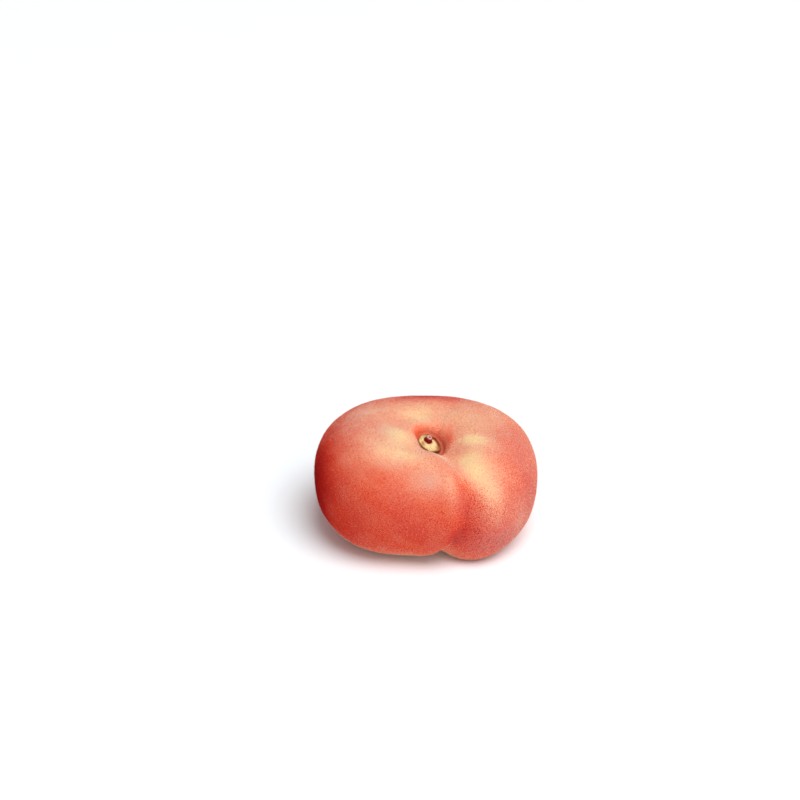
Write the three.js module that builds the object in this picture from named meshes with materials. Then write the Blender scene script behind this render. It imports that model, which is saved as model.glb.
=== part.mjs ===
// A flat ("doughnut") peach resting on its blossom end, millimetres, +Z up.
//
// Two grown pieces:
//   fruit      skin and flesh as one solid: the stem hollow, the deep suture that
//              folds the front into two lobes, and the blossom hollow underneath
//   stem_stub  the dry cup the stalk broke away from, with the stub of its core
//
// The fruit is one smooth formula. "Station" runs along the skin from the seat of
// the stem (0) over the rim of the stem hollow (1), the belly (2) and the foot it
// rests on (3), to the middle of the blossom hollow (4). "Azimuth" runs round the
// fruit, anticlockwise from +X.

import * as THREE from 'three';
import { ParametricGeometry } from 'three/addons/geometries/ParametricGeometry.js';
import { mergeVertices } from 'three/addons/utils/BufferGeometryUtils.js';

// ---- size of the whole fruit --------------------------------------------------
const BELLY_RADIUS = 34.6;
const HEIGHT = 35.5;
const BELLY_HEIGHT = 17.8;
const RIM_RADIUS = 16.6;
const FOOT_RADIUS = 18.2;
const SHOULDER_FULLNESS = 2.42;   // 2 is an ellipse, more is squarer
const UNDERSIDE_FULLNESS = 2.2;
const CORE_X = 0.54;              // where the core stands, so that the belly reaches
const CORE_Y = -1.46;             // equally far to all four sides of the origin

// ---- stem hollow: a wide shallow bowl with a narrow throat in it ----------------
const SEAT_RADIUS = 3.7;
const BOWL_DEPTH = 1.5;
const THROAT_DEPTH = 4.2;
const THROAT_SOFTNESS = 1.5;
const SEAT_TILT = 27;             // degrees, the seat faces front and right
const SEAT_TILT_AZIMUTH = 128;    // the high side of the seat
const SEAT_TILT_REACH = 3.2;
const SEAT_SHIFT_X = 0.6;         // the seat sits forward of the core
const SEAT_SHIFT_Y = -1.7;

// ---- underside ------------------------------------------------------------------
const BLOSSOM_DEPTH = 8.0;
const FOOT_SWELL = 0.35;          // three low swellings carry the fruit
const FOOT_AZIMUTH = 90;
const FLAT_SPOT_DEPTH = 0.3;      // how far each is pressed flat by its own weight

// ---- suture: the fold from the seat down the front and under ----------------------
const SUTURE_AZIMUTH = [-56, -64, -67.5, -89, -91];   // degrees, at each station
const SUTURE_DEPTH = [0.4, 3.2, 2.7, 2.8, 0.3];
const SUTURE_LEFT = 3.0;          // the left flank is the steeper one
const SUTURE_RIGHT = 6.5;

// ---- unevenness of the natural form ----------------------------------------------
// Radius swells: how many round the fruit, share of the radius, azimuth of a peak.
const RADIUS_SWELLS = [
  { count: 1, share: 0.030, azimuth: 127.5 },
  { count: 2, share: 0.039, azimuth: -2 },
  { count: 3, share: 0.008, azimuth: -25 },
  { count: 4, share: 0.017, azimuth: -43 },
];
// Height swells of the rim, in millimetres.
const RIM_SWELLS = [
  { count: 1, height: 0.34, azimuth: 173 },
  { count: 2, height: 0.63, azimuth: 3 },
];
// Local swellings (+) and hollows (-): place, height, half widths in degrees and stations.
const LOCAL_SWELLS = [
  { azimuth: -51, station: 2.69, height: 1.9, wide: 26, long: 0.6 },    // right lobe
  { azimuth: -101, station: 2.5, height: -1.5, wide: 30, long: 0.7 },   // left lobe foot
  { azimuth: -74, station: 0.5, height: -2.0, wide: 38, long: 0.36 },   // low front lip
  { azimuth: -152, station: 0.5, height: 1.2, wide: 26, long: 0.3 },    // high left lip
  { azimuth: -4, station: 0.42, height: 0.6, wide: 40, long: 0.13 },    // full right wall
  { azimuth: 64, station: 0.8, height: -0.4, wide: 10, long: 0.5 },     // crease behind
];

// ---- stem stub ---------------------------------------------------------------------
const STUB_GAP = 0.3;
const STUB_SHIFT_X = -0.45;       // the cup fills the left of the seat
const CUP_RADIUS = 3.4;
const CUP_RIM = 1.15;             // heights above the underside of the cup
const CUP_FLOOR = 0.45;
const CUP_STRETCH = 0.1;          // the cup is longest from back left to front right
const CUP_STRETCH_AZIMUTH = 152;
const CORE_RADIUS = 1.2;
const CORE_TOP = 2.5;
const CORE_ASIDE = 1.3;           // the core stands off the middle of the cup
const CORE_ASIDE_AZIMUTH = 110;

// ---- facets ------------------------------------------------------------------------
const FRUIT_AROUND = 84;
const FRUIT_ALONG = 56;
const CROWDING = 0.45;            // how much the facets crowd towards the suture
const STUB_AROUND = 40;

const DEGREE = Math.PI / 180;
const SEAT_HEIGHT = HEIGHT - BOWL_DEPTH - THROAT_DEPTH - FLAT_SPOT_DEPTH;
const SHOULDER_REACH = BELLY_RADIUS - RIM_RADIUS;
const RIM_PACE = RIM_RADIUS / (SHOULDER_REACH * (Math.PI / 2) ** (2 / SHOULDER_FULLNESS));

function clamp(value, low, high) {
  return Math.min(Math.max(value, low), high);
}

// 0 below `low`, 1 above `high`, with a soft S between.
function ease(low, high, value) {
  const t = clamp((value - low) / (high - low), 0, 1);
  return t * t * (3 - 2 * t);
}

// The shortest way round between two azimuths, in radians.
function around(angle) {
  return angle - 2 * Math.PI * Math.round(angle / (2 * Math.PI));
}

// Smooth value between the five stations (Catmull-Rom).
function along(values, station) {
  const last = values.length - 1;
  const i = clamp(Math.floor(station), 0, last - 1);
  const w = clamp(station - i, 0, 1);
  const before = values[Math.max(i - 1, 0)];
  const from = values[i];
  const to = values[i + 1];
  const after = values[Math.min(i + 2, last)];
  const bend = 2 * before - 5 * from + 4 * to - after;
  return from + 0.5 * w * (to - before + w * (bend + w * (3 * (from - to) + after - before)));
}

// Depth of the throat as a share of its full depth, flat over the seat.
function throatShare(radius) {
  const out = Math.max(radius - SEAT_RADIUS, 0) / THROAT_SOFTNESS;
  const rimOut = (RIM_RADIUS - SEAT_RADIUS) / THROAT_SOFTNESS;
  const left = (radius / RIM_RADIUS) ** 2 / (1 + rimOut ** 2);
  return 1 / (1 + out ** 2) - left;
}

// The plain meridian before any unevenness: radius and height at a station.
function meridian(station) {
  if (station < 1) {
    const radius = RIM_RADIUS * station;
    const bowl = BOWL_DEPTH * (0.5 + 0.5 * Math.cos(Math.PI * station));
    return [radius, HEIGHT - bowl - THROAT_DEPTH * throatShare(radius)];
  }
  if (station < 2) {
    // turns slowly at first, so that stations keep their pace as they cross the rim
    const past = station - 1;
    const pace = past * (RIM_PACE + (1 - RIM_PACE) * past);
    const turn = pace ** (SHOULDER_FULLNESS / 2) * Math.PI / 2;
    const out = Math.sin(turn) ** (2 / SHOULDER_FULLNESS);
    const up = Math.abs(Math.cos(turn)) ** (2 / SHOULDER_FULLNESS);
    return [
      RIM_RADIUS + SHOULDER_REACH * out,
      BELLY_HEIGHT + (HEIGHT - BELLY_HEIGHT) * up,
    ];
  }
  if (station < 3) {
    const turn = (station - 2) * Math.PI / 2;
    const out = Math.abs(Math.cos(turn)) ** (2 / UNDERSIDE_FULLNESS);
    const down = Math.sin(turn) ** (2 / UNDERSIDE_FULLNESS);
    return [
      FOOT_RADIUS + (BELLY_RADIUS - FOOT_RADIUS) * out,
      BELLY_HEIGHT * (1 - down),
    ];
  }
  const inward = Math.min(station - 3, 1);
  return [
    FOOT_RADIUS * (1 - inward),
    BLOSSOM_DEPTH * (0.5 - 0.5 * Math.cos(Math.PI * inward)),
  ];
}

// One point of the finished skin.
function skinPoint(azimuth, station, target) {
  const [radius, height] = meridian(station);
  const [radiusBefore, heightBefore] = meridian(Math.max(station - 0.02, 0));
  const [radiusAfter, heightAfter] = meridian(Math.min(station + 0.02, 4));
  const step = Math.hypot(radiusAfter - radiusBefore, heightAfter - heightBefore);
  const outR = -(heightAfter - heightBefore) / step;
  const outZ = (radiusAfter - radiusBefore) / step;
  const reach = radius / BELLY_RADIUS;

  let stretch = 1;
  for (const swell of RADIUS_SWELLS) {
    stretch += swell.share * reach * Math.cos(swell.count * (azimuth - swell.azimuth * DEGREE));
  }
  let lift = 0;
  for (const swell of RIM_SWELLS) {
    lift += swell.height * Math.cos(swell.count * (azimuth - swell.azimuth * DEGREE));
  }
  lift *= ease(0, 1, height / HEIGHT) * ease(0.1, 0.45, reach);
  if (station < 1.6) {
    const fade = Math.exp(-((Math.max(radius - SEAT_RADIUS, 0) / SEAT_TILT_REACH) ** 2));
    const rise = Math.cos(azimuth - SEAT_TILT_AZIMUTH * DEGREE);
    lift += Math.tan(SEAT_TILT * DEGREE) * radius * rise * fade;
  }
  const footing = Math.exp(-(((station - 3) / 0.35) ** 2));
  lift -= FOOT_SWELL * footing * Math.cos(3 * (azimuth - FOOT_AZIMUTH * DEGREE));

  const across = around(azimuth - along(SUTURE_AZIMUTH, station) * DEGREE) * Math.max(radius, 0.5);
  const flank = across < 0 ? SUTURE_LEFT : SUTURE_RIGHT;
  let push = -along(SUTURE_DEPTH, station) * Math.exp(-((across / flank) ** 2));
  for (const swell of LOCAL_SWELLS) {
    const aside = around(azimuth - swell.azimuth * DEGREE) / (swell.wide * DEGREE);
    const ahead = (station - swell.station) / swell.long;
    push += swell.height * Math.exp(-(aside ** 2) - ahead ** 2);
  }
  push *= ease(SEAT_RADIUS - 1, SEAT_RADIUS + 2, radius);

  const shift = 1 - ease(0.15, 0.8, station);
  const r = radius * stretch + push * outR;
  const z = height + lift + push * outZ - FLAT_SPOT_DEPTH;
  target.set(
    CORE_X + r * Math.cos(azimuth) + SEAT_SHIFT_X * shift,
    CORE_Y + r * Math.sin(azimuth) + SEAT_SHIFT_Y * shift,
    Math.max(z, 0),
  );
}

// Closes a parametric sheet into one solid: joins its seam and poles, drops the
// triangles that shrank to nothing there, and turns it inside out if it has to be.
function closed(sheet) {
  sheet.deleteAttribute('normal');
  sheet.deleteAttribute('uv');
  const solid = mergeVertices(sheet, 1e-5);
  const index = solid.getIndex().array;
  const spot = solid.getAttribute('position');
  const kept = [];
  const a = new THREE.Vector3();
  const b = new THREE.Vector3();
  const c = new THREE.Vector3();
  let volume = 0;
  for (let i = 0; i < index.length; i += 3) {
    const [p, q, s] = [index[i], index[i + 1], index[i + 2]];
    if (p === q || q === s || s === p) continue;
    kept.push(p, q, s);
    a.fromBufferAttribute(spot, p);
    b.fromBufferAttribute(spot, q);
    c.fromBufferAttribute(spot, s);
    volume += a.dot(b.cross(c));
  }
  solid.setIndex(volume > 0 ? kept : kept.reverse());
  solid.computeVertexNormals();
  return solid;
}

// Rows crowd into the two hollows, columns crowd towards the suture.
function fruitSheet(u, v, target) {
  const turn = (u % 1) * 2 * Math.PI;
  const front = SUTURE_AZIMUTH[2] * DEGREE;
  const azimuth = turn - CROWDING * Math.sin(turn - front);
  const station = 4 * v - 0.3 * Math.sin(2 * Math.PI * v);
  skinPoint(azimuth, clamp(station, 0, 4), target);
}

// The dry cup and the broken core in it, turned about its own axis.
const STUB_PROFILE = new THREE.CatmullRomCurve3([
  new THREE.Vector3(0, 0, 0),
  new THREE.Vector3(CUP_RADIUS * 0.55, 0, 0),
  new THREE.Vector3(CUP_RADIUS * 0.9, 0, 0.12),
  new THREE.Vector3(CUP_RADIUS, 0, CUP_RIM * 0.62),
  new THREE.Vector3(CUP_RADIUS * 0.95, 0, CUP_RIM),
  new THREE.Vector3(CUP_RADIUS * 0.84, 0, CUP_RIM * 0.66),
  new THREE.Vector3(CUP_RADIUS * 0.6, 0, CUP_FLOOR),
  new THREE.Vector3(CORE_RADIUS * 1.1, 0, CUP_FLOOR + 0.08),
  new THREE.Vector3(CORE_RADIUS * 0.95, 0, CUP_FLOOR + 0.7),
  new THREE.Vector3(CORE_RADIUS * 0.7, 0, CORE_TOP - 0.4),
  new THREE.Vector3(CORE_RADIUS * 0.5, 0, CORE_TOP - 0.02),
  new THREE.Vector3(0, 0, CORE_TOP - 0.25),
]);

function stubSheet(u, v, target) {
  const turn = (u % 1) * 2 * Math.PI;
  STUB_PROFILE.getPoint(v, target);
  const radius = Math.max(target.x, 0);
  const long = CUP_STRETCH * Math.cos(2 * (turn - CUP_STRETCH_AZIMUTH * DEGREE));
  const wobble = 1 + long + 0.02 * Math.cos(5 * turn + 2.1);
  const chipped = 0.1 * Math.cos(3 * turn + 1.2) * (radius / CUP_RADIUS) * ease(0.3, 1, target.z);
  const aside = CORE_ASIDE * ease(5, 7, v * (STUB_PROFILE.points.length - 1));
  target.set(
    radius * wobble * Math.cos(turn) + aside * Math.cos(CORE_ASIDE_AZIMUTH * DEGREE),
    radius * wobble * Math.sin(turn) + aside * Math.sin(CORE_ASIDE_AZIMUTH * DEGREE),
    target.z + chipped,
  );
}

const fruitMaterial = new THREE.MeshStandardMaterial({ color: 0xd9694f, roughness: 0.85, metalness: 0 });
const stubMaterial = new THREE.MeshStandardMaterial({ color: 0xc79c5e, roughness: 0.9, metalness: 0 });

const fruit = new THREE.Mesh(
  closed(new ParametricGeometry(fruitSheet, FRUIT_AROUND, FRUIT_ALONG)),
  fruitMaterial,
);
fruit.name = 'fruit';

const stemStub = new THREE.Mesh(
  closed(new ParametricGeometry(stubSheet, STUB_AROUND, 34)),
  stubMaterial,
);
stemStub.name = 'stem_stub';
const seatLow = (SEAT_TILT_AZIMUTH - 90) * DEGREE;
const seatAxis = new THREE.Vector3(Math.cos(seatLow), Math.sin(seatLow), 0);
stemStub.quaternion.setFromAxisAngle(seatAxis, SEAT_TILT * DEGREE);
stemStub.position.set(CORE_X + SEAT_SHIFT_X, CORE_Y + SEAT_SHIFT_Y, SEAT_HEIGHT);
stemStub.translateX(STUB_SHIFT_X);
stemStub.translateZ(STUB_GAP);

const peach = new THREE.Group();
peach.name = 'peach';
peach.add(fruit, stemStub);

export default peach;
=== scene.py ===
# A flat peach, dressed: its skin with fine relief and blush, the fuzz on it, and the dry
# stem scar in the hollow on top. Shapes are worked out in millimetres, and turned to metres
# as they become meshes.
#
# "Station" runs along the skin from the seat of the stem (0) over the rim of the stem hollow
# (1), the belly (2) and the foot it rests on (3), to the middle of the blossom hollow (4).
# "Azimuth" runs round the fruit, anticlockwise from +X.
import math
import bpy
import numpy as np
from mathutils import Matrix, Vector


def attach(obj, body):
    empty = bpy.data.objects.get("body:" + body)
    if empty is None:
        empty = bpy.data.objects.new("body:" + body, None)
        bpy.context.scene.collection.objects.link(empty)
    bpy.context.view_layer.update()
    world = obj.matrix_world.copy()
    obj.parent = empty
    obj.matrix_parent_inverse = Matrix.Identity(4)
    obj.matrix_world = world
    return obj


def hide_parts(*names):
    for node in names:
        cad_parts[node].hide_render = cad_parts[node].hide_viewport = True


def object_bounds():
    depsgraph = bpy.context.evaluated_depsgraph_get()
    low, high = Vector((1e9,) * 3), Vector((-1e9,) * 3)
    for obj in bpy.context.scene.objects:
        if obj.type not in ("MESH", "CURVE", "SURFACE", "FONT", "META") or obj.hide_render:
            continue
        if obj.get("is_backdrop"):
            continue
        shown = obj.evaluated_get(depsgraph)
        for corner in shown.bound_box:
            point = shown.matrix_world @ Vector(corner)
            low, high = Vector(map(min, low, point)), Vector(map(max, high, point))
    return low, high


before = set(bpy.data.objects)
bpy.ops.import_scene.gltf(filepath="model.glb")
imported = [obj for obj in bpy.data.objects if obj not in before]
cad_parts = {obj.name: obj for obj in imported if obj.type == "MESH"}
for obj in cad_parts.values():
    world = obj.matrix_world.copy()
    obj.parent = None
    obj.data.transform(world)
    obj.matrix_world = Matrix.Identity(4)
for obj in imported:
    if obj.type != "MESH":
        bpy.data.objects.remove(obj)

cad_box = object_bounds()
MM = 0.001
DEG = math.pi / 180

# ---- the fruit's form, with the same named sizes as its solid ----------------------------
BELLY_RADIUS = 34.6
HEIGHT = 35.5
BELLY_HEIGHT = 17.8
RIM_RADIUS = 16.6
FOOT_RADIUS = 18.2
SHOULDER_FULLNESS = 2.42        # 2 is an ellipse, more is squarer
UNDERSIDE_FULLNESS = 2.2
CORE = (0.54, -1.46)            # so that the belly reaches equally far to all four sides

# stem hollow: a wide shallow bowl with a narrow throat in it
SEAT_RADIUS = 3.7
BOWL_DEPTH = 1.5
THROAT_DEPTH = 4.2
THROAT_SOFTNESS = 1.5
SEAT_TILT = 27                  # degrees, the seat faces front and right
SEAT_TILT_AZIMUTH = 128         # the high side of the seat
SEAT_TILT_REACH = 3.2
SEAT_TILT_END = 1.6             # station past which nothing tilts
SEAT_SHIFT = (0.6, -1.7)        # the seat sits forward of the core
SEAT_SHIFT_FADE = (0.15, 0.8)   # stations
SEAT_CLEAR = (SEAT_RADIUS - 1, SEAT_RADIUS + 2)   # radii over which unevenness sets in

# underside: three low feet, each pressed flat by the fruit's weight
BLOSSOM_DEPTH = 8.0
FEET = 3
FOOT_SWELL = 0.35
FOOT_LENGTH = 0.35              # stations
FOOT_AZIMUTH = 90
FLAT_SPOT_DEPTH = 0.3

# suture, the fold from the seat down the front and under: degrees and depth at each station
SUTURE_AZIMUTH = (-56, -64, -67.5, -89, -91)
SUTURE_DEPTH = (0.4, 3.2, 2.7, 2.8, 0.3)
SUTURE_LEFT = 3.0               # the left flank is the steeper one
SUTURE_RIGHT = 6.5
POLE_RADIUS = 0.5               # keeps the suture some width at both ends

# how many swells round the fruit, share of the radius or height in mm, azimuth of a peak
RADIUS_SWELLS = ((1, 0.030, 127.5), (2, 0.039, -2), (3, 0.008, -25), (4, 0.017, -43))
RIM_SWELLS = ((1, 0.34, 173), (2, 0.63, 3))
RIM_SWELL_FADE = (0.1, 0.45)    # shares of the belly's radius
# name, azimuth, station, half width in degrees, half length in stations, height in mm
LOCAL_SWELLS = (
    ("right lobe", -51, 2.69, 26, 0.6, 1.9),
    ("foot of the left lobe", -101, 2.5, 30, 0.7, -1.5),
    ("low front lip", -74, 0.5, 38, 0.36, -2.0),
    ("high left lip", -152, 0.5, 26, 0.3, 1.2),
    ("full right wall", -4, 0.42, 40, 0.13, 0.6),
    ("crease behind", 64, 0.8, 10, 0.5, -0.4),
)

# relief too fine for the solid: puckers that run into each hollow, as station, half length
# in stations and height, the thin line at the bottom of the suture, and gentle bumps, as
# wavelength, height and seed
PUCKERS = ((0.42, 0.16, 0.10), (3.72, 0.2, 0.16))
SUTURE_LINE_WIDTH = 0.7
SUTURE_LINE_DEPTH = 0.22
SUTURE_LINE_START = (0.6, 1.1)  # stations over which it deepens
BUMPS = ((13, 0.10, 3), (5, 0.05, 4))

SEAT_HEIGHT = HEIGHT - BOWL_DEPTH - THROAT_DEPTH - FLAT_SPOT_DEPTH
SHOULDER_REACH = BELLY_RADIUS - RIM_RADIUS
RIM_PACE = RIM_RADIUS / (SHOULDER_REACH * (math.pi / 2) ** (2 / SHOULDER_FULLNESS))
SLOPE_STEP = 0.02               # stations to each side, to find which way the skin faces
HILL_WAVES = 9
HILL_SPREAD = (0.75, 1.35)      # how far their wavelengths differ
HILL_PEAK = 1.4


def ease(low, high, value):
    """0 below `low`, 1 above `high`, with a soft S between."""
    t = np.clip((value - low) / (high - low), 0, 1)
    return t * t * (3 - 2 * t)


def bell(distance, half_width, power=2):
    """1 in the middle, fading to 0 on both sides; a power of 4 is flatter on top."""
    return np.exp(-(distance / half_width) ** power)


def away(azimuth, degrees):
    """How many degrees an azimuth in radians lies from one in degrees, the shortest way."""
    angle = azimuth - degrees * DEG
    return (angle - 2 * math.pi * np.round(angle / (2 * math.pi))) / DEG


def waves(azimuth, count, peak):
    """`count` waves round a circle, with a peak at an azimuth in degrees."""
    return np.cos(count * (azimuth - peak * DEG))


def along(values, place):
    """A smooth curve through evenly spaced values or points; `place` counts from the first."""
    v = np.asarray(values, float)
    last = len(v) - 1
    i = np.clip(np.floor(place).astype(int), 0, last - 1)
    w = (place - i).reshape(np.shape(place) + (1,) * (v.ndim - 1))
    before, start = v[np.maximum(i - 1, 0)], v[i]
    end, after = v[i + 1], v[np.minimum(i + 2, last)]
    bend = 2 * before - 5 * start + 4 * end - after
    swing = bend + w * (3 * (start - end) + after - before)
    return start + 0.5 * w * (end - before + w * swing)


def hills(points, wavelength, seed):
    """Gentle random hills of about a wavelength in mm, mostly between -1 and 1."""
    rng = np.random.default_rng(seed)
    total = np.zeros(points.shape[:-1])
    for _ in range(HILL_WAVES):
        way = rng.normal(size=3)
        way *= rng.uniform(*HILL_SPREAD) * 2 * math.pi / wavelength / np.linalg.norm(way)
        total += np.sin(points @ way + rng.uniform(0, 2 * math.pi))
    return total / math.sqrt(HILL_WAVES) / HILL_PEAK


def uneven(points, table):
    """Hills laid over each other, from rows of wavelength, height and seed."""
    return sum(tall * hills(points, wavelength, seed) for wavelength, tall, seed in table)


def patches(table, azimuth, station):
    """The soft spots of a table, added up at each point of the skin."""
    total = np.zeros(azimuth.shape)
    for _, a, s, wide, long, amount in table:
        total += amount * bell(away(azimuth, a), wide) * bell(station - s, long)
    return total


def throat_share(radius):
    """Depth of the throat as a share of its full depth, flat over the seat."""
    out = np.maximum(radius - SEAT_RADIUS, 0) / THROAT_SOFTNESS
    rim_out = (RIM_RADIUS - SEAT_RADIUS) / THROAT_SOFTNESS
    return 1 / (1 + out ** 2) - (radius / RIM_RADIUS) ** 2 / (1 + rim_out ** 2)


def quarter(turned, fullness):
    """The two sides of a quarter turn, 0 to 1, on an ellipse that is fuller than round."""
    angle = turned * math.pi / 2
    return np.sin(angle) ** (2 / fullness), np.abs(np.cos(angle)) ** (2 / fullness)


def meridian(station):
    """Radius and height of the plain outline at a station, before any unevenness."""
    crown, past, under, inward = (np.clip(station - zone, 0, 1) for zone in range(4))
    bowl = BOWL_DEPTH * (0.5 + 0.5 * np.cos(math.pi * crown))
    # turns slowly at first, so that stations keep their pace as they cross the rim
    pace = past * (RIM_PACE + (1 - RIM_PACE) * past)
    shoulder_out, shoulder_up = quarter(pace ** (SHOULDER_FULLNESS / 2), SHOULDER_FULLNESS)
    under_down, under_out = quarter(under, UNDERSIDE_FULLNESS)
    outline = (
        (RIM_RADIUS * crown, HEIGHT - bowl - THROAT_DEPTH * throat_share(RIM_RADIUS * crown)),
        (RIM_RADIUS + SHOULDER_REACH * shoulder_out,
         BELLY_HEIGHT + (HEIGHT - BELLY_HEIGHT) * shoulder_up),
        (FOOT_RADIUS + (BELLY_RADIUS - FOOT_RADIUS) * under_out,
         BELLY_HEIGHT * (1 - under_down)),
        (FOOT_RADIUS * (1 - inward), BLOSSOM_DEPTH * (0.5 - 0.5 * np.cos(math.pi * inward))),
    )
    zones = [station < 1, station < 2, station < 3]
    radii, heights = zip(*outline)
    return np.select(zones, radii[:3], radii[3]), np.select(zones, heights[:3], heights[3])


def lifted(azimuth, station, radius, height):
    """How far the skin is lifted: the uneven rim, the tilted seat and the three feet."""
    lift = sum(tall * waves(azimuth, count, peak) for count, tall, peak in RIM_SWELLS)
    lift = lift * ease(0, 1, height / HEIGHT) * ease(*RIM_SWELL_FADE, radius / BELLY_RADIUS)
    tilt = math.tan(SEAT_TILT * DEG) * radius * waves(azimuth, 1, SEAT_TILT_AZIMUTH)
    tilt = tilt * bell(np.maximum(radius - SEAT_RADIUS, 0), SEAT_TILT_REACH)
    feet = FOOT_SWELL * bell(station - 3, FOOT_LENGTH) * waves(azimuth, FEET, FOOT_AZIMUTH)
    return lift + tilt * (station < SEAT_TILT_END) - feet


def pushed(azimuth, station, radius):
    """How far the skin is pushed out: lobes, suture, puckers and the suture's thin line."""
    across = away(azimuth, along(SUTURE_AZIMUTH, station)) * DEG * np.maximum(radius, POLE_RADIUS)
    flank = np.where(across < 0, SUTURE_LEFT, SUTURE_RIGHT)
    push = patches(LOCAL_SWELLS, azimuth, station)
    push -= along(SUTURE_DEPTH, station) * bell(across, flank)
    # nine folds, unevenly spaced, with finer ones among them
    folds = np.cos(9 * azimuth + 1.2 * np.sin(2 * azimuth)) + 0.6 * np.cos(14 * azimuth + 2)
    for place, long, tall in PUCKERS:
        push += tall * folds * bell(station - place, long)
    line = bell(across, SUTURE_LINE_WIDTH) * ease(*SUTURE_LINE_START, station)
    return push - SUTURE_LINE_DEPTH * line


def skin_points(azimuth, station):
    """Points of the finished skin in mm."""
    radius, height = meridian(station)
    r0, z0 = meridian(np.clip(station - SLOPE_STEP, 0, 4))
    r1, z1 = meridian(np.clip(station + SLOPE_STEP, 0, 4))
    step = np.hypot(r1 - r0, z1 - z0)
    out_r, out_z = -(z1 - z0) / step, (r1 - r0) / step
    reach = radius / BELLY_RADIUS
    swells = sum(share * waves(azimuth, count, peak) for count, share, peak in RADIUS_SWELLS)
    clear = ease(*SEAT_CLEAR, radius)
    push = pushed(azimuth, station, radius) * clear
    shift = 1 - ease(*SEAT_SHIFT_FADE, station)
    r = radius * (1 + reach * swells) + push * out_r
    points = np.stack([
        CORE[0] + r * np.cos(azimuth) + SEAT_SHIFT[0] * shift,
        CORE[1] + r * np.sin(azimuth) + SEAT_SHIFT[1] * shift,
        height + lifted(azimuth, station, radius, height) + push * out_z - FLAT_SPOT_DEPTH,
    ], -1)
    outward = np.stack([out_r * np.cos(azimuth), out_r * np.sin(azimuth), out_z], -1)
    points += (uneven(points, BUMPS) * clear)[..., None] * outward
    points[..., 2] = np.maximum(points[..., 2], 0)
    return points


# ---- small tools for meshes and materials -------------------------------------------------
def srgb(code):
    """A hex colour as linear values."""
    channels = [int(code[i:i + 2], 16) / 255 for i in (1, 3, 5)]
    linear = [c / 12.92 if c <= 0.04045 else ((c + 0.055) / 1.055) ** 2.4 for c in channels]
    return (*linear, 1.0)


def per_metre(size):
    """How many times a pattern of a size in mm fits into a metre."""
    return 1 / (size * MM)


def add(tree, kind, settings=None, stops=(), **links):
    """A node with its settings, the colour stops of its ramp, and its links.

    Each link is a socket's name, or _ and its number, with a value or another socket.
    """
    node = tree.nodes.new(kind)
    for name, value in (settings or {}).items():
        setattr(node, name, value)
    if stops:
        ramp = node.color_ramp.elements
        ramp.remove(ramp[-1])
        ramp[0].position, ramp[0].color = stops[0][0], srgb(stops[0][1])
        for place, code in stops[1:]:
            ramp.new(place).color = srgb(code)
    for name, value in links.items():
        socket = node.inputs[int(name[1:]) if name[0] == "_" else name.replace("_", " ")]
        if isinstance(value, bpy.types.NodeSocket):
            tree.links.new(value, socket)
        else:
            socket.default_value = value
    return node


def new_material(name):
    """An empty material and its tree."""
    material = bpy.data.materials.new(name)
    material.use_nodes = True
    material.node_tree.nodes.clear()
    return material, material.node_tree


def new_object(name, data):
    """An object in the scene that holds a mesh, a lamp or a camera."""
    piece = bpy.data.objects.new(name, data)
    bpy.context.scene.collection.objects.link(piece)
    return piece


def poles_once(values):
    """The rows of a grid one after another, with each pole only once."""
    body = values[1:-1].reshape(-1, *values.shape[2:])
    return np.concatenate([values[:1, 0], body, values[-1:, 0]])


def uv_corners(*corners):
    """UVs of a ring of faces, from the u all round and the one v of each of their corners."""
    return np.stack([np.stack(np.broadcast_arrays(u, v), -1) for u, v in corners], 1)


def closed_skin(name, grid, material, marks, flip=False):
    """Closes a grid of points, rows from pole to pole and columns round, into one skin."""
    rows, columns = grid.shape[:2]
    ring = np.arange(columns)
    after = (ring + 1) % columns
    left, middle, right = ring / columns, (ring + 0.5) / columns, (ring + 1) / columns
    faces, uvs = [], []
    for row in range(1, rows - 2):
        low = 1 + (row - 1) * columns
        high = low + columns
        v0, v1 = row / (rows - 1), (row + 1) / (rows - 1)
        faces.append(np.stack([low + ring, high + ring, high + after, low + after], 1))
        uvs.append(uv_corners((left, v0), (left, v1), (right, v1), (right, v0)))
    last = high + columns
    v0, v1 = 1 / (rows - 1), (rows - 2) / (rows - 1)
    faces.append(np.stack([0 * ring, 1 + ring, 1 + after], 1))
    uvs.append(uv_corners((middle, 0), (left, v0), (right, v0)))
    faces.append(np.stack([last + 0 * ring, high + after, high + ring], 1))
    uvs.append(uv_corners((middle, 1), (right, v1), (left, v1)))
    order = -1 if flip else 1
    corners = [face for band in faces for face in band[:, ::order].tolist()]
    mesh = bpy.data.meshes.new(name)
    mesh.from_pydata((poles_once(grid) * MM).tolist(), [], corners)
    uv = np.concatenate([band[:, ::order].reshape(-1) for band in uvs])
    mesh.uv_layers.new(name="OFBake").data.foreach_set("uv", uv.astype(np.float32))
    mesh.polygons.foreach_set("use_smooth", np.ones(len(mesh.polygons), bool))
    for mark, values in marks.items():
        layer = mesh.attributes.new(mark, "FLOAT", "POINT")
        layer.data.foreach_set("value", poles_once(values).astype(np.float32))
    mesh.materials.append(material)
    return new_object(name, mesh)


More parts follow.
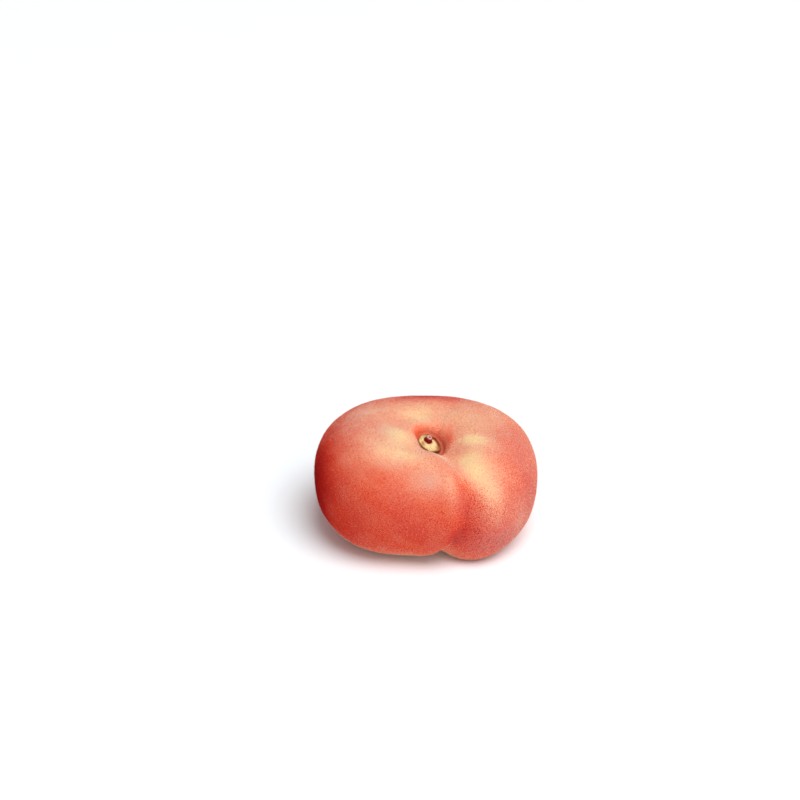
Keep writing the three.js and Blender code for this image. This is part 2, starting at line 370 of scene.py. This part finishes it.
# ---- where the skin is red, partly with painted shade, yellow, greyed by dusty hair and painted sheen, or brown ---
# name, azimuth, station, half width in degrees, half length in stations, change of the mark;
# a half width of 900 degrees goes all round
BLUSH = (
    ("sunny wall behind the stem", 106, 0.63, 32, 0.33, -0.3),
    ("pale spot on the right shoulder", -27, 0.95, 9, 0.27, -0.42),
    ("pale ridge by the suture", -55, 1.5, 9.5, 0.33, -0.5),
    ("pale ridge by the suture, top", -50, 1.15, 9, 0.2, -0.24),
    ("pale ridge by the suture, foot", -52, 1.86, 6, 0.2, -0.2),
    ("between the pale spots on the right", -40, 1.22, 12, 0.32, -0.08),
    ("right of the ridge", -43, 1.6, 6, 0.3, -0.06),
    ("back of the left shoulder", 150, 1.16, 15, 0.24, -0.1),
    ("front of the left shoulder", -121, 1.12, 25, 0.3, -0.29),
    # a pale spot on the front shoulder: painted sheen
    ("pale spot on the front shoulder", -91, 1.6, 9, 0.13, -0.09),
    ("left of the hollow", -150, 0.68, 30, 0.22, -0.36),
    # paler over the front shoulder: partly painted sheen
    ("front of the hollow", -87, 1.5, 17, 0.24, -0.17),
    ("right of the hollow", 25, 0.75, 34, 0.27, -0.12),
    # deeper red on the back rim: partly the skin's own, partly painted shade
    ("back rim", 90, 1.34, 30, 0.18, 0.36),
    ("throat, all round", 70, 0.25, 130, 0.065, 0.22),
    ("throat, left", 150, 0.27, 36, 0.06, 0.1),
    # the left cheek's deep red is partly the skin's own and partly painted shade
    ("left cheek", -172, 2.04, 24, 0.43, 0.55),
    ("left cheek, low", -144, 2.25, 24, 0.3, 0.2),
    ("front lobe", -99, 2.04, 30, 0.3, 0.15),
    # deeper red along the front lobe's low edge: painted shade near the ground
    ("front lobe, low edge", -112, 2.4, 24, 0.16, 0.12),
    ("lit edge of the left lobe", -76, 1.7, 4, 0.2, -0.16),
    # deeper red down the suture's valley and at its foot: partly the skin's own red, partly painted
    # shade in the crease
    ("suture valley", -66, 2.03, 6, 0.33, 0.14),
    ("foot of the suture", -74, 2.22, 5.5, 0.2, 0.26),
    ("right shoulder", -6, 1.5, 18, 0.25, 0.08),
    ("edge of the right flank", -24, 1.97, 8, 0.26, 0.08),
    ("right lobe, low", -50, 2.3, 22, 0.3, 0.22),
    # a paler low edge on the right lobe: partly painted rim light on the hair
    ("right lobe, pale low edge", -36, 2.15, 6, 0.2, -0.16),
    ("back cheek", 100, 1.9, 50, 0.5, 0.22),
    ("back, sunny side", 30, 1.7, 26, 0.5, -0.16),
    ("underside", 0, 3.35, 900, 0.58, -0.56),
)
# grey of dusty hair; on the shoulders, flanks and low edges it is also painted sheen, the pale haze
# of hair lit at a slant
BLOOM_AND_SHEEN = (
    ("sunny wall behind the stem", 106, 0.63, 34, 0.33, -0.25),
    ("left shoulder", 165, 1.35, 34, 0.24, 0.9),
    ("left of the hollow", -160, 0.8, 34, 0.25, 1.0),
    ("front shoulder", -90, 1.58, 10, 0.16, 1.15),
    ("right flank", -22, 1.88, 16, 0.5, 0.7),
    ("right lobe, low", -42, 2.25, 22, 0.3, 1.3),
    ("back shoulder", 80, 1.3, 60, 0.3, 0.4),
    ("right shoulder", -6, 1.3, 22, 0.3, 0.35),
    ("edge of the right shoulder", -3, 1.62, 15, 0.2, 0.7),
    # no grey haze on the left cheek: painted shade, as hair in shade shows no sheen
    ("deep red of the left cheek", -176, 1.95, 26, 0.34, -0.6),
)
SPECKLE = (
    ("right lobe, low", -46, 2.2, 26, 0.42, 0.8),
    ("right flank", -20, 1.8, 14, 0.4, 0.4),
    ("suture valley", -64, 1.95, 8, 0.35, 0.35),
    ("left shoulder", 165, 1.4, 34, 0.3, 0.8),
    ("crown", 0, 0.85, 900, 0.5, 0.5),
)
# orange-red in the stem's throat, where the skin is thin over wet flesh: partly its own colour,
# partly a painted glow that lifts the shade of the throat's walls
FLUSH_AND_GLOW = (
    ("right wall of the throat", -22, 0.37, 46, 0.11, 0.9),
    ("left edge of the throat", 150, 0.28, 40, 0.07, 0.3),
)
CROWN_RED = 0.39
BELLY_RED = 0.61
BELLY_RED_FROM = (1.05, 1.7)    # stations
RED_DRIFT = ((22, 0.04, 11), (9, 0.025, 12))
PLAIN_BLOOM_AND_SHEEN = 0.19
BLOOM_AND_SHEEN_DRIFT = ((12, 0.15, 13),)
PLAIN_SPECKLE = 0.62
BLOSSOM_POINT = 0.045           # half length in stations
# torn skin round the stem cup, in mm past the radius of the seat; how brown it is: all
# round, and how much more on the side where it is torn widest
TORN_SIDE = (15, 62)            # azimuth and half width
TORN_LINE = (0.68, 0.15)        # outer line and its half width
TORN_LINE_BROWN = (0.22, 0.28)
TORN_BAND_FADE = (0.4, 0.75)    # the band inside the line
TORN_BAND_BROWN = (0.12, 0.18)
SEAT_FADE = (-0.5, 0.2)         # under the cup itself
SEAT_BROWN = 0.7


def redness_of(azimuth, station, points):
    """How red the blush is: yellow at 0, deep red past 1."""
    plain = CROWN_RED + (BELLY_RED - CROWN_RED) * ease(*BELLY_RED_FROM, station)
    return plain + patches(BLUSH, azimuth, station) + uneven(points, RED_DRIFT)


def bloom_and_sheen_of(azimuth, station, points):
    """How far dusty hair greys the skin, with the painted sheen of lit hair over it."""
    plain = PLAIN_BLOOM_AND_SHEEN + patches(BLOOM_AND_SHEEN, azimuth, station)
    return np.maximum(plain + uneven(points, BLOOM_AND_SHEEN_DRIFT), 0)


def cork_of(azimuth, station):
    """Dead brown skin: the blossom point, and the torn edge round the stem cup."""
    past_seat = meridian(station)[0] - SEAT_RADIUS
    torn_side = bell(away(azimuth, TORN_SIDE[0]), TORN_SIDE[1])
    line = TORN_LINE_BROWN[0] + TORN_LINE_BROWN[1] * torn_side
    band = TORN_BAND_BROWN[0] + TORN_BAND_BROWN[1] * torn_side
    torn = line * bell(past_seat - TORN_LINE[0], TORN_LINE[1])
    torn += band * (1 - ease(*TORN_BAND_FADE, past_seat))
    torn += SEAT_BROWN * (1 - ease(*SEAT_FADE, past_seat))
    return bell(4 - station, BLOSSOM_POINT) + torn * (station < 1)


# ---- peach skin -----------------------------------------------------------------------------
# Grown, thin and matt, with its pigment mottled and short hairs all over. It gives the eye a
# yellow ground under a salmon to deep red blush, in places deepened by painted shade, fine flecks
# where the hairs stand, and a soft glow where light gets under it, which in the throat is also
# painted into its colour.
SKIN_REDS = (
    (0.0, "#F0D097"), (0.204, "#EAAB89"), (0.382, "#DF7859"), (0.56, "#D34129"),
    (0.729, "#BC241B"), (0.889, "#920409"), (1.0, "#700407"),
)
DEEPEST_RED = 1.35              # redness at the last of these
# grey-pink of dusty hair, which also serves as painted sheen
DUSTY_SHEEN_PINK = "#C29690"
# orange-red of the throat, painted bright as a glow of light through thin skin
FLUSH_GLOW_RED = "#FF5F38"
CORK_BROWN = "#6A2C1C"
# sizes in mm; pigment flecks are about 0.3 mm, with softer mottling over them
FLECK = 0.3
FLECK_NOISE = (0.46, 0.74)      # noise between these
FLECK_RED = (-0.08, 0.42)       # gives this change of redness
MOTTLE = 4.0
MOTTLE_RED = 0.1
# the hairs really stand about 0.1 mm apart; their dust and nap are drawn this coarse to show
DUST = 0.55
DUST_NOISE = (0.2, 0.85)
DUST_COVER = 0.55
NAP = 0.45
NAP_HEIGHT = 0.06


def skin_colour(tree, place):
    """Blush with flecks and mottling, then dusty hair and painted sheen, painted glow, and brown
    places.
    """
    red, bloom_and_sheen, speckle, flush_and_glow, cork = (
        add(tree, "ShaderNodeAttribute", {"attribute_name": mark}).outputs["Fac"]
        for mark in ("redness", "bloom_and_sheen", "speckle", "flush_and_glow", "cork")
    )
    fleck = add(
        tree, "ShaderNodeTexNoise", Vector=place, Scale=per_metre(FLECK), Detail=1.5, Roughness=0.55,
    )
    mottle = add(
        tree, "ShaderNodeTexNoise", Vector=place, Scale=per_metre(MOTTLE), Detail=3.0, Roughness=0.55,
    )
    fleck_red = add(
        tree, "ShaderNodeMapRange", {"clamp": True}, Value=fleck.outputs["Fac"],
        From_Min=FLECK_NOISE[0], From_Max=FLECK_NOISE[1], To_Min=FLECK_RED[0], To_Max=FLECK_RED[1],
    )
    mottle_red = add(
        tree, "ShaderNodeMath", {"operation": "MULTIPLY_ADD"},
        _0=mottle.outputs["Fac"], _1=MOTTLE_RED, _2=-MOTTLE_RED / 2,
    )
    flecked = add(
        tree, "ShaderNodeMath", {"operation": "MULTIPLY_ADD"},
        _0=fleck_red.outputs[0], _1=speckle, _2=red,
    )
    mottled = add(
        tree, "ShaderNodeMath", {"operation": "ADD"},
        _0=flecked.outputs[0], _1=mottle_red.outputs[0],
    )
    depth = add(
        tree, "ShaderNodeMath", {"operation": "MULTIPLY"},
        _0=mottled.outputs[0], _1=1 / DEEPEST_RED,
    )
    blush = add(tree, "ShaderNodeValToRGB", stops=SKIN_REDS, Fac=depth.outputs[0])
    dust = add(tree, "ShaderNodeTexNoise", Vector=place, Scale=per_metre(DUST), Detail=1.0)
    dusty = add(
        tree, "ShaderNodeMapRange", {"clamp": True}, Value=dust.outputs["Fac"],
        From_Min=DUST_NOISE[0], From_Max=DUST_NOISE[1],
    )
    veil = add(
        tree, "ShaderNodeMath", {"operation": "MULTIPLY"}, _0=bloom_and_sheen, _1=dusty.outputs[0],
    )
    veil_share = add(
        tree, "ShaderNodeMath", {"operation": "MULTIPLY", "use_clamp": True},
        _0=veil.outputs[0], _1=DUST_COVER,
    )
    colour = blush.outputs["Color"]
    for share, code in (
        (veil_share.outputs[0], DUSTY_SHEEN_PINK), (flush_and_glow, FLUSH_GLOW_RED), (cork, CORK_BROWN),
    ):
        over = add(
            tree, "ShaderNodeMix", {"data_type": "RGBA"}, Factor=share, A=colour, B=srgb(code),
        )
        colour = over.outputs["Result"]
    return colour


def peach_skin():
    material, tree = new_material("peach_skin")
    place = add(tree, "ShaderNodeTexCoord").outputs["Object"]
    nap = add(tree, "ShaderNodeTexNoise", Vector=place, Scale=per_metre(NAP), Detail=2.0)
    relief = add(
        tree, "ShaderNodeBump", Height=nap.outputs["Fac"], Strength=0.35, Distance=NAP_HEIGHT * MM,
    )
    skin = add(
        tree, "ShaderNodeBsdfPrincipled", {"subsurface_method": "RANDOM_WALK"},
        Base_Color=skin_colour(tree, place), Roughness=0.62, IOR=1.42, Specular_IOR_Level=0.0,
        Subsurface_Weight=0.22, Subsurface_Radius=(1.0, 0.32, 0.16), Subsurface_Scale=1.6 * MM,
        Sheen_Weight=0.03, Sheen_Roughness=0.4, Sheen_Tint=srgb("#FFA892"),
        Normal=relief.outputs["Normal"],
    )
    add(tree, "ShaderNodeOutputMaterial", Surface=skin.outputs["BSDF"])
    return material


AROUND, ALONG = 448, 217        # columns and rows of the skin's mesh
CROWDING = 0.45                 # how much the columns crowd towards the suture
HOLLOW_CROWDING = 0.3           # and the rows into both hollows

turn = np.arange(AROUND) / AROUND * 2 * math.pi
turn = turn - CROWDING * np.sin(turn - SUTURE_AZIMUTH[2] * DEG)
share = np.linspace(0, 1, ALONG)
row_stations = np.clip(4 * share - HOLLOW_CROWDING * np.sin(2 * math.pi * share), 0, 4)
azimuth, station = np.meshgrid(turn, row_stations)
points = skin_points(azimuth, station)
redness = redness_of(azimuth, station, points)
peach = closed_skin("peach_skin", points, peach_skin(), {
    "redness": redness,
    "bloom_and_sheen": bloom_and_sheen_of(azimuth, station, points),
    "speckle": PLAIN_SPECKLE + patches(SPECKLE, azimuth, station),
    "cork": cork_of(azimuth, station),
    "flush_and_glow": patches(FLUSH_AND_GLOW, azimuth, station),
})
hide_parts("fruit")
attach(peach, "root")


# ---- fuzz: the short hairs of the skin, each a closed spike -----------------------------------
# Plant hair, grown: clear, dry and a little silky. It takes the colour of the skin behind it
# and gives the eye a soft, dusty edge. Real hairs are finer and far denser; these are thick
# enough to show.
# Real hair is pale all over: the redder shades paint the skin's colour seen through it, and the dark
# wine, on the left cheek, is also painted shade.
HAIR_SHADES = (
    ("fuzz_hair_straw", "#F6E3D2"), ("fuzz_hair_salmon", "#F0C6B6"),
    ("fuzz_hair_coral", "#DA8E80"), ("fuzz_hair_wine", "#98110E"),
)
SHADE_LIMITS = (0.60, 0.80, 0.95)   # redness of the skin at which the next shade begins
SHADE_STRAY = 0.06
HAIR_THICK = 0.028
HAIR_LENGTH = (0.15, 0.45)
HAIR_ROOT = 0.03                # how deep each is rooted
HAIR_CLEAR = 0.01               # lowest over the ground
HAIR_LEAN = 0.55                # how far a tuft leans together
HAIR_STRAY = 0.35               # and how far each hair strays from it
TUFT = 6
PAINTED_RIM_PALING = 0.35                # turned under, hairs are drawn paler: a painted highlight along the lower outline
UNDER_FROM = (2.2, 2.45)        # stations
SPIKE_FACES = np.array([(0, 1, 3), (1, 2, 3), (2, 0, 3), (0, 2, 1)])


def fuzz_hair(name, code):
    material, tree = new_material(name)
    hair = add(
        tree, "ShaderNodeBsdfPrincipled", Base_Color=srgb(code), Roughness=0.6, IOR=1.5,
        Specular_IOR_Level=0.2,
    )
    add(tree, "ShaderNodeOutputMaterial", Surface=hair.outputs["BSDF"])
    return material


def unit(vectors):
    """Vectors at length 1."""
    return vectors / np.maximum(np.linalg.norm(vectors, axis=-1, keepdims=True), 1e-9)


def hair_roots(rng, first, last, count):
    """Where hairs stand between two stations, spread evenly over the area of the skin.

    Gives a function that blends values of the skin's grid at the roots, and their stations.
    """
    start, end = np.searchsorted(row_stations, (first, last))
    rows = np.arange(max(start, 1), min(end, ALONG - 2))
    after = (np.arange(AROUND) + 1) % AROUND
    a, b, c = points[rows], points[rows][:, after], points[rows + 1]
    area = np.linalg.norm(np.cross(b - a, c - a), axis=-1)
    share = (area / area.sum()).reshape(-1)
    pick = rng.choice(len(share), size=count, p=share)
    i, j = rows[pick // AROUND], pick % AROUND
    k = after[j]
    s, t = rng.random((2, count, 1))

    def at_roots(values):
        near = values[i, j] * (1 - s) + values[i, k] * s
        far = values[i + 1, j] * (1 - s) + values[i + 1, k] * s
        return near * (1 - t) + far * t

    return at_roots, row_stations[i]


def hair_spikes(rng, root, normal, seed):
    """The four corners of each hair, which lean together in tufts."""
    tuft = np.stack([hills(root, TUFT, seed + n) for n in (1, 2, 3)], -1)
    lean = HAIR_LEAN * tuft + rng.normal(0, HAIR_STRAY, root.shape)
    grown = unit(normal + lean - normal * np.sum(lean * normal, 1, keepdims=True))
    length = rng.uniform(*HAIR_LENGTH, (len(root), 1))
    side = unit(np.cross(grown, rng.normal(size=root.shape)))
    other = np.cross(grown, side)
    base = root - HAIR_ROOT * normal
    spikes = np.stack([
        base + HAIR_THICK / 2 * (math.cos(third) * side + math.sin(third) * other)
        for third in (0, 2 * math.pi / 3, 4 * math.pi / 3)
    ] + [root + length * grown], 1)
    spikes[..., 2] = np.maximum(spikes[..., 2], HAIR_CLEAR)
    return spikes


def fuzz(name, first, last, count, seed):
    """`count` hairs between two stations, as one piece."""
    rng = np.random.default_rng(seed)
    at_roots, stations = hair_roots(rng, first, last, count)
    spikes = hair_spikes(rng, at_roots(points), at_roots(normals), seed)
    faces = 4 * np.arange(count)[:, None, None] + SPIKE_FACES
    mesh = bpy.data.meshes.new(name)
    mesh.from_pydata((spikes.reshape(-1, 3) * MM).tolist(), [], faces.reshape(-1, 3).tolist())
    for material in hair_materials:
        mesh.materials.append(material)
    red = at_roots(redness[..., None])[:, 0] - PAINTED_RIM_PALING * ease(*UNDER_FROM, stations)
    shade = np.searchsorted(SHADE_LIMITS, red + rng.normal(0, SHADE_STRAY, count))
    mesh.polygons.foreach_set("material_index", np.repeat(shade, 4).astype(np.int32))
    piece = new_object(name, mesh)
    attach(piece, "root")


hair_materials = [fuzz_hair(name, code) for name, code in HAIR_SHADES]
normals = unit(np.cross(
    np.gradient(points, axis=0), np.roll(points, -1, 1) - np.roll(points, 1, 1),
))
fuzz("fuzz_crown", 0.3, 1.45, 45000, 21)
fuzz("fuzz_belly", 1.45, 2.4, 48000, 31)
fuzz("fuzz_base", 2.4, 3.9, 30000, 41)


# ---- the dry stem cup and the broken core in it, with the same named sizes as their solid -----
STUB_GAP = 0.3
STUB_SHIFT_X = -0.45            # the cup fills the left of the seat
CUP_RADIUS = 3.4
CUP_RIM = 1.15                  # heights above the underside of the cup
CUP_FLOOR = 0.45
CUP_STRETCH = 0.1               # the cup is longest from back left to front right
CUP_STRETCH_AZIMUTH = 152
CORE_RADIUS = 1.2
CORE_TOP = 2.5
CORE_ASIDE = 1.3                # the core stands off the middle of the cup
CORE_ASIDE_AZIMUTH = 110
# radius and height, from under the cup, over its rim, to the core's top; a "stage" counts
# along these points, and the comments name some of them
STUB_PROFILE = (
    (0, 0),
    (CUP_RADIUS * 0.55, 0),
    (CUP_RADIUS * 0.9, 0.12),
    (CUP_RADIUS, CUP_RIM * 0.62),
    (CUP_RADIUS * 0.95, CUP_RIM),             # 4, the rim
    (CUP_RADIUS * 0.84, CUP_RIM * 0.66),
    (CUP_RADIUS * 0.6, CUP_FLOOR),            # 6, the floor
    (CORE_RADIUS * 1.1, CUP_FLOOR + 0.08),    # 7, the foot of the core
    (CORE_RADIUS * 0.95, CUP_FLOOR + 0.7),
    (CORE_RADIUS * 0.7, CORE_TOP - 0.4),
    (CORE_RADIUS * 0.5, CORE_TOP - 0.02),     # 10, its snapped edge
    (0, CORE_TOP - 0.25),
)
LAST_STAGE = len(STUB_PROFILE) - 1
STUB_AROUND, STUB_ROWS = 160, 96
CUP_WOBBLE = 0.02               # how far the cup is from an oval, as a share
CUP_WARP = 0.1                  # how far its rim is from level
INSIDE_FROM = (4.2, 5.0)        # stages over which the inside of the cup begins
INSIDE_TO = (6.6, 7.2)          # and ends
CORE_FROM = (5, 7)
FIBRE_HEIGHT = 0.035
TORN_RIM = (4, 0.6)             # stage and half length
TORN_HEIGHT = 0.09
SNAPPED_FROM = (9.2, 10.2)
SNAPPED_HEIGHT = 0.16
GRIT = (0.9, 0.03)              # wavelength and height of the roughness all over
AXIS_CLEAR = (0, 0.3)           # radii over which it sets in
STREAK_LENGTH = 2.2
# azimuth, half width, stage and half length
# a brown patch on the cup's floor left of the core: painted shadow of the core
CORE_SHADOW_PATCH = (205, 26, 6.1, 0.7)
# brown on the right of the cup's inner wall: partly dried tissue, partly painted shade
BROWN_AND_SHADED_WALL = (38, 78, 4.7, 0.85)


def stub_spot(place, azimuth, stage, power=2):
    """A soft spot on the stem stub."""
    a, wide, middle, long = place
    return bell(away(azimuth, a), wide, power) * bell(stage - middle, long, power)


def stub_grid():
    """Points of the stem stub on a level seat, and its marks."""
    stage = np.linspace(0, LAST_STAGE, STUB_ROWS)
    line = along(STUB_PROFILE, stage)
    u = np.arange(STUB_AROUND) / STUB_AROUND * 2 * math.pi
    radius = np.maximum(line[:, :1], 0) + 0 * u
    height = line[:, 1:] + 0 * u
    stage = stage[:, None] + 0 * u
    oval = 1 + CUP_STRETCH * waves(u, 2, CUP_STRETCH_AZIMUTH) + CUP_WOBBLE * np.cos(5 * u + 2.1)
    warp = CUP_WARP * np.cos(3 * u + 1.2) * (radius / CUP_RADIUS) * ease(0.3, 1, height)
    # dry fibres that run out from the core, and a torn rim and core top
    fibre = 0.5 * np.cos(11 * u + 2 * np.sin(3 * u)) + 0.5 * np.cos(18 * u + 1)
    inside = ease(*INSIDE_FROM, stage) * (1 - ease(*INSIDE_TO, stage))
    torn = (fibre + np.cos(7 * u + 0.4)) * bell(stage - TORN_RIM[0], TORN_RIM[1])
    snapped = ease(*SNAPPED_FROM, stage) * ease(0, 0.4, radius)
    height = height + warp + FIBRE_HEIGHT * fibre * inside + TORN_HEIGHT * torn
    height = height + SNAPPED_HEIGHT * (np.cos(4 * u + 2) + 0.5 * fibre) * snapped
    aside = CORE_ASIDE * ease(*CORE_FROM, stage)
    x = radius * oval * np.cos(u) + aside * math.cos(CORE_ASIDE_AZIMUTH * DEG)
    y = radius * oval * np.sin(u) + aside * math.sin(CORE_ASIDE_AZIMUTH * DEG)
    grid = np.stack([x, y, height], -1)
    grit = np.stack([hills(grid, GRIT[0], seed) for seed in (51, 52, 53)], -1)
    grid += GRIT[1] * grit * ease(*AXIS_CLEAR, radius)[..., None]
    streaks = np.clip(0.1 + 0.5 * fibre + 0.6 * hills(grid, STREAK_LENGTH, 54), 0, 1)
    return grid, {
        "stage": stage / LAST_STAGE,
        "fibre": 0.6 * streaks * inside,
        "core_shadow": 0.85 * stub_spot(CORE_SHADOW_PATCH, u, stage),
        "browned_and_shaded": stub_spot(BROWN_AND_SHADED_WALL, u, stage, 4),
    }


def on_seat(grid):
    """Tips the stub over with its seat and sets it down there, with its gap to the skin."""
    hinge = (SEAT_TILT_AZIMUTH - 90) * DEG
    tip = Matrix.Rotation(SEAT_TILT * DEG, 3, Vector((math.cos(hinge), math.sin(hinge), 0)))
    seat = Vector((CORE[0] + SEAT_SHIFT[0], CORE[1] + SEAT_SHIFT[1], SEAT_HEIGHT))
    foot = seat + tip @ Vector((STUB_SHIFT_X, 0, STUB_GAP))
    return grid @ np.array(tip).T + np.array(foot)


# Stalk tissue, dried where it broke: fibrous and matt. It gives the eye a tan cup with a brown
# rim and darker fibres, round a wine-red core with a pale top, with a painted shadow of the core
# on the cup's floor and painted shade on the right of its inner wall.
STEM_TANS = (
    (0.0, "#74462A"), (0.22, "#9A6840"), (0.3, "#C29A60"), (0.34, "#9A6038"),
    (0.36, "#8A5230"), (0.38, "#C7A066"), (0.42, "#E2C688"), (0.60, "#E7D19B"),
    (0.635, "#C0844B"), (0.67, "#570E17"), (0.80, "#861524"), (0.87, "#DEAA9C"),
    (0.93, "#E4BCAE"), (0.97, "#7A2226"), (1.0, "#4C1014"),
)
FIBRE_TAN = "#B1804F"
# brown of the core's painted shadow
CORE_SHADOW_BROWN = "#9D5922"
# brown of that wall, partly painted shade
WALL_BROWN_AND_SHADE = "#8A301E"
# sizes in mm; the fibres are finer, and their grain is drawn this coarse to show
BLOTCH = 0.7
BLOTCH_WANDER = 0.08            # how far it moves a colour along the stages, as a share
GRAIN = 0.25
GRAIN_HEIGHT = 0.05


def dried_stem_tissue():
    material, tree = new_material("dried_stem_tissue")
    place = add(tree, "ShaderNodeTexCoord").outputs["Object"]
    stage, fibre, core_shadow, browned_and_shaded = (
        add(tree, "ShaderNodeAttribute", {"attribute_name": mark}).outputs["Fac"]
        for mark in ("stage", "fibre", "core_shadow", "browned_and_shaded")
    )
    blotch = add(tree, "ShaderNodeTexNoise", Vector=place, Scale=per_metre(BLOTCH), Detail=3.0)
    wander = add(
        tree, "ShaderNodeMath", {"operation": "MULTIPLY_ADD"},
        _0=blotch.outputs["Fac"], _1=BLOTCH_WANDER, _2=-BLOTCH_WANDER / 2,
    )
    spot = add(tree, "ShaderNodeMath", {"operation": "ADD"}, _0=stage, _1=wander.outputs[0])
    tan = add(tree, "ShaderNodeValToRGB", stops=STEM_TANS, Fac=spot.outputs[0])
    colour = tan.outputs["Color"]
    for share, code, blend in (
        (fibre, FIBRE_TAN, "MULTIPLY"), (core_shadow, CORE_SHADOW_BROWN, "MIX"), (browned_and_shaded, WALL_BROWN_AND_SHADE, "MIX"),
    ):
        over = add(
            tree, "ShaderNodeMix", {"data_type": "RGBA", "blend_type": blend},
            Factor=share, A=colour, B=srgb(code),
        )
        colour = over.outputs["Result"]
    grain = add(tree, "ShaderNodeTexNoise", Vector=place, Scale=per_metre(GRAIN), Detail=2.0)
    relief = add(
        tree, "ShaderNodeBump", Height=grain.outputs["Fac"], Strength=0.5,
        Distance=GRAIN_HEIGHT * MM,
    )
    tissue = add(
        tree, "ShaderNodeBsdfPrincipled", Base_Color=colour, Roughness=0.75, IOR=1.45,
        Specular_IOR_Level=0.15, Normal=relief.outputs["Normal"],
    )
    add(tree, "ShaderNodeOutputMaterial", Surface=tissue.outputs["BSDF"])
    return material


level_stub, stub_marks = stub_grid()
stub = closed_skin("stem_cup", on_seat(level_stub), dried_stem_tissue(), stub_marks, flip=True)
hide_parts("stem_stub")
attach(stub, "root")


# ---- studio: pale ground, soft lights, camera -------------------------------------------------
# ground and lamps, in metres
GROUND_HALF = 12.0              # wide enough to have no edge in view
GROUND_DROP = 0.0002            # just under the fruit's flat spots
SURROUNDING_LIGHT = 0.35
# the key lamp is wide and far off, so that it lights the ground evenly to its edges
KEY_LAMP = {"place": (5.6, -7.0, 18.2), "wide": 16.0, "power": 3880.0}
FILL_LAMP = {"place": (0.45, -0.8, 0.35), "wide": 0.7, "power": 1.7}
LAMP_AIM = (0, 0, 0.02)

# camera, in mm
TILT_DOWN = 28 * DEG
DISTANCE = 650.0
SENSOR = 36
PICTURE = 800                   # pixels
PIXEL_MM = 0.315                # what one of them covers at AIM
AIM = (*CORE, 30.1)             # over the core, just above the seat of the stem
AIM_PIXEL = (427.76, 441.53)    # where AIM shows in the picture


def matt_white_paper():
    """Uncoated paper, rolled out: no gleam, so that only the fruit's shadow shows on it."""
    material, tree = new_material("matt_white_paper")
    paper = add(
        tree, "ShaderNodeBsdfPrincipled", Base_Color=srgb("#F6FCFF"), Roughness=0.9,
        Specular_IOR_Level=0.1,
    )
    add(tree, "ShaderNodeOutputMaterial", Surface=paper.outputs["BSDF"])
    return material


def paper_ground():
    """A sheet of paper, much wider than the view."""
    corners = [(x * GROUND_HALF, y * GROUND_HALF, 0) for x, y in ((-1, -1), (1, -1), (1, 1), (-1, 1))]
    mesh = bpy.data.meshes.new("ground")
    mesh.from_pydata(corners, [], [(0, 1, 2, 3)])
    mesh.materials.append(matt_white_paper())
    sheet = new_object("ground", mesh)
    sheet.location.z = -GROUND_DROP
    return sheet


def soft_surroundings():
    """White light from all round."""
    world = bpy.data.worlds.new("studio")
    bpy.context.scene.world = world
    world.use_nodes = True
    background = world.node_tree.nodes["Background"]
    background.inputs["Color"].default_value = (1, 1, 1, 1)
    background.inputs["Strength"].default_value = SURROUNDING_LIGHT


def soft_lamp(name, place, wide, power):
    """A round lamp, turned to the fruit."""
    light = bpy.data.lights.new(name, "AREA")
    light.shape = "DISK"
    light.size = wide
    light.energy = power
    lamp = new_object(name, light)
    lamp.location = place
    lamp.rotation_euler = (Vector(LAMP_AIM) - Vector(place)).to_track_quat("-Z", "Y").to_euler()


def camera_in_front():
    """A camera that looks down on the fruit from the front, with AIM at its pixel."""
    focal_px = DISTANCE / PIXEL_MM
    ahead = Vector((0, math.cos(TILT_DOWN), -math.sin(TILT_DOWN)))
    up = Vector((0, math.sin(TILT_DOWN), math.cos(TILT_DOWN)))
    right = Vector((1, 0, 0))
    beside = (AIM_PIXEL[0] - PICTURE / 2) / focal_px
    below = (AIM_PIXEL[1] - PICTURE / 2) / focal_px
    lens = bpy.data.cameras.new("camera")
    lens.sensor_width = SENSOR
    lens.lens = SENSOR * focal_px / PICTURE
    lens.clip_start = 0.01
    camera = new_object("camera", lens)
    camera.location = (Vector(AIM) - (ahead + right * beside - up * below) * DISTANCE) * MM
    camera.rotation_euler = (math.pi / 2 - TILT_DOWN, 0, 0)
    bpy.context.scene.camera = camera


ground = paper_ground()
ground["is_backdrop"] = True
soft_surroundings()
soft_lamp("key", **KEY_LAMP)
soft_lamp("fill", **FILL_LAMP)
camera_in_front()
bpy.context.scene.view_settings.view_transform = "Standard"

plain = lambda box: [[float(v) for v in corner] for corner in box]
{"cad": plain(cad_box), "visual": plain(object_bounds())}
